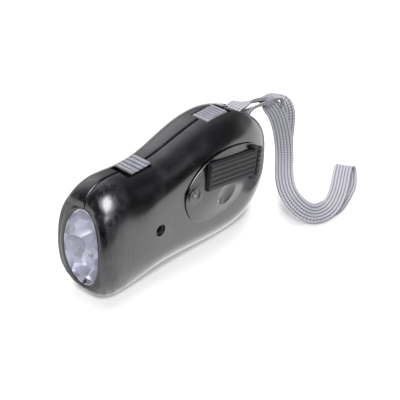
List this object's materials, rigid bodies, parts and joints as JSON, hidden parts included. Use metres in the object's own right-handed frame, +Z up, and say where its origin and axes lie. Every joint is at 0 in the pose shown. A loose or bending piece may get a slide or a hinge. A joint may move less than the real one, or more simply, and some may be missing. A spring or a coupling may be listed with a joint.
{
  "type": "dynamo flashlight",
  "caption": "Hand-cranked flashlight with a peanut-shaped translucent case, an oval lens, top slides, a side crank with a fold-out grip and a wrist strap.",
  "frame": {"origin": "middle of the case's outline on the plane that it rests on, with the strap left out", "axes": "+Y towards the rear, where the strap is, -Y out of the lens, +X out of the crank's side, +Z up"},
  "size_m": [0.0629, 0.1637, 0.0593],
  "materials": {
    "case": "glossy translucent smoke grey",
    "grip": "satin, ribbed",
    "slide": "satin grey",
    "lens": "clear, polished",
    "led": "clear resin",
    "reflector": "bright metallised",
    "board": "satin",
    "black": "satin",
    "steel": "plain",
    "copper": "enamelled wire",
    "gear": "satin white",
    "strap": "woven"
  },
  "bodies": {
    "case": {"right_shell": "case", "left_shell": "case", "lens": "lens", "led_1": "led", "led_2": "led", "led_3": "led", "reflector": "reflector", "led_board": "board", "main_board": "board", "rear_board": "board", "power_switch": "black", "rear_switch": "black", "capacitor": "black", "rectifier_1": "black", "rectifier_2": "black", "charging_socket": "black", "cell_tray": "black", "coil_bobbin": "black", "cell_1": "steel", "cell_2": "steel", "cell_3": "steel", "contact_negative": "steel", "contact_positive": "steel", "gear_axle_1": "steel", "gear_axle_2": "steel", "gear_plate": "steel", "stator_core": "steel", "case_screw_front": "steel", "case_screw_waist": "steel", "case_screw_rear_top": "steel", "case_screw_rear_bottom": "steel", "strap_bar": "steel", "coil_winding": "copper", "strap_anchor": "strap", "strap_loop": "strap", "strap_crimp": "strap"},
    "crank": {"crank_arm": "case", "hub_washer": "steel", "hub_screw": "steel", "drive_shaft": "steel", "drive_gear": "gear", "grip_hinge_pin": "steel"},
    "grip": {"crank_grip": "grip"},
    "gear_1": {"compound_gear_1": "gear"},
    "gear_2": {"compound_gear_2": "gear"},
    "rotor": {"rotor_pinion": "steel", "rotor_magnet": "steel"},
    "power_slide": {"power_slide": "slide"},
    "rear_slide": {"rear_slide": "slide"}
  },
  "joints": [
    {"name": "crank_turn", "type": "hinge", "parent": "case", "child": "crank", "pos_m": [-0.0006, -0.0036, 0.0355], "axis": [1, 0, 0], "continuous": true},
    {"name": "grip_fold", "type": "hinge", "parent": "crank", "child": "grip", "pos_m": [0.0181, 0.035, 0.0361], "axis": [0, 0.1736, 0.9848], "range_deg": [0, 90]},
    {"name": "gear_1_turn", "type": "hinge", "parent": "case", "child": "gear_1", "pos_m": [-0.0006, 0.01016, 0.02586], "axis": [1, 0, 0], "continuous": true},
    {"name": "gear_2_turn", "type": "hinge", "parent": "case", "child": "gear_2", "pos_m": [-0.0006, 0.0267, 0.03188], "axis": [1, 0, 0], "continuous": true},
    {"name": "rotor_turn", "type": "hinge", "parent": "case", "child": "rotor", "pos_m": [-0.0006, 0.0267, 0.01508], "axis": [1, 0, 0], "continuous": true},
    {"name": "power_slide", "type": "slide", "parent": "case", "child": "power_slide", "axis": [0, -1, 0], "range_m": [0, 0.0024]},
    {"name": "rear_slide", "type": "slide", "parent": "case", "child": "rear_slide", "axis": [0, 1, 0], "range_m": [0, 0.002]}
  ],
  "couplings": [
    {"joint": "gear_1_turn", "follows": "crank_turn", "ratio": -2.5},
    {"joint": "gear_2_turn", "follows": "crank_turn", "ratio": 6.6667},
    {"joint": "rotor_turn", "follows": "crank_turn", "ratio": -21.333}
  ]
}
